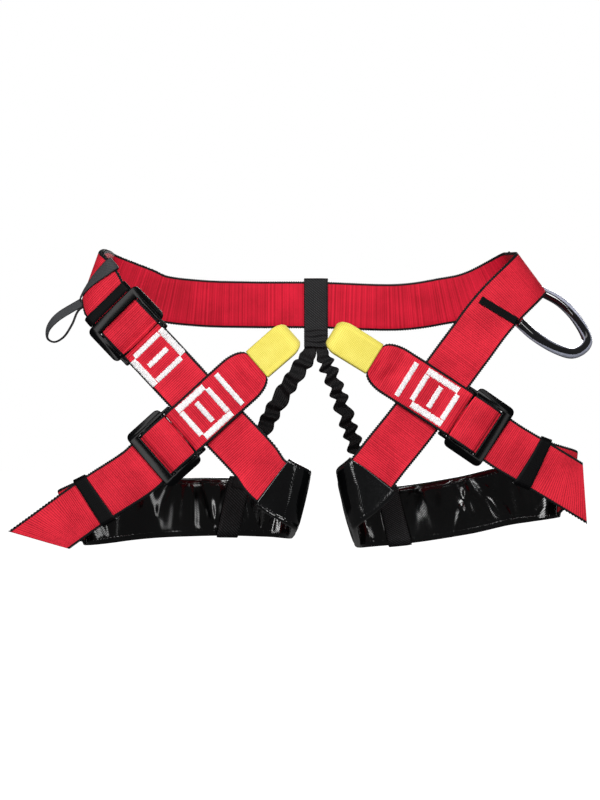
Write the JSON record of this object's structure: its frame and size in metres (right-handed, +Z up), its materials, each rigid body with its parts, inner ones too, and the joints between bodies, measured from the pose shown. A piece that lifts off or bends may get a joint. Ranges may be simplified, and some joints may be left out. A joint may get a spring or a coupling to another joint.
{
  "type": "caving harness",
  "caption": "Sit harness of wide edged webbing with leg loops, sleeved tie-in eyes, steel adjusters, coated leg sleeves and elastic risers, for climbing on rope in caves.",
  "frame": {"origin": "middle of the waist hollow at the height of the belt", "axes": "+X to the viewer's right seen from the front, +Y from front to back, +Z up"},
  "size_m": [0.5276, 0.1677, 0.2812],
  "materials": {
    "webbing_red": "woven polyester webbing with black edges",
    "sleeve_yellow": "tubular woven wear sleeve",
    "pad_black": "glossy coated fabric",
    "webbing_black": "woven webbing",
    "elastic_black": "gathered elastic",
    "steel_black": "black coated steel",
    "tube_black": "clear tube over a black core",
    "tape_grey": "thin woven tape"
  },
  "bodies": {
    "root": {"waist_belt": "webbing_red", "cross_strap_left": "webbing_red", "tie_in_strap_left": "webbing_red", "tie_in_strap_right": "webbing_red", "leg_strap_left": "webbing_red", "leg_strap_right": "webbing_red", "eye_sleeve_left": "sleeve_yellow", "eye_sleeve_right": "sleeve_yellow", "leg_pad_left": "pad_black", "leg_pad_right": "pad_black", "pad_loop_left": "webbing_black", "pad_loop_right": "webbing_black", "keeper_hip": "webbing_black", "keeper_leg_left": "webbing_black", "keeper_leg_right": "webbing_black", "buckle_hip": "steel_black", "buckle_leg_left": "steel_black", "buckle_leg_right": "steel_black", "back_strap": "webbing_black", "elastic_riser_left": "elastic_black", "elastic_riser_right": "elastic_black", "gear_loop": "tube_black", "gear_loop_tape_front": "webbing_black", "gear_loop_tape_rear": "webbing_black", "accessory_loop": "tape_grey"}
  },
  "joints": []
}
